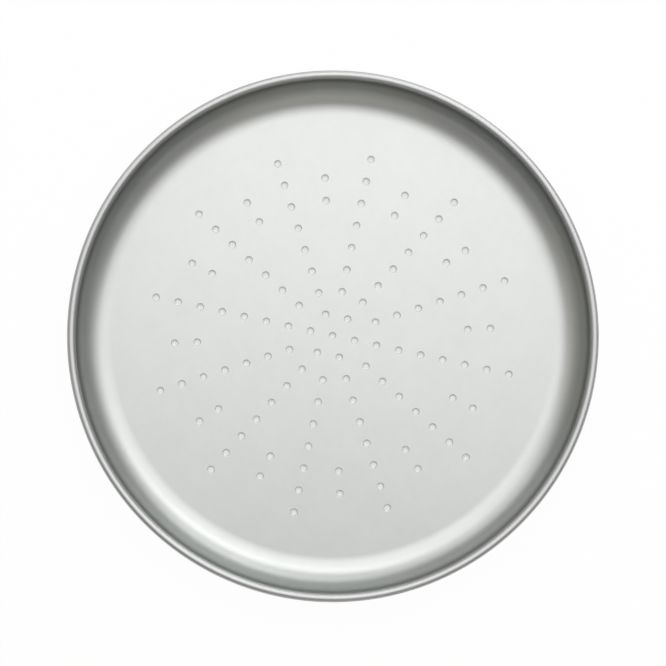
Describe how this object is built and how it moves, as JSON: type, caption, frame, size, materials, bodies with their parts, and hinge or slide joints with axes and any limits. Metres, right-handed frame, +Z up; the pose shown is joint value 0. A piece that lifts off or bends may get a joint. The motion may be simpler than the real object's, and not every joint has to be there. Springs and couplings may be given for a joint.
{
  "type": "pizza pan",
  "caption": "Round perforated pizza pan pressed from aluminium sheet, with a flat vented floor, a wide cove up to a low steep wall and a rim curled round a steel wire.",
  "frame": {"origin": "centre of the flat underside of the floor, on the pan's axis", "axes": "+Z up along the pan's axis, out of its open side; +X and +Y each along a short spoke of holes"},
  "size_m": [0.322, 0.322, 0.025],
  "materials": {
    "satin_aluminium": "satin anodised",
    "zinc_wire": "zinc-plated drawn wire"
  },
  "bodies": {
    "root": {"pan_body": "satin_aluminium", "rim_wire": "zinc_wire"}
  },
  "joints": []
}
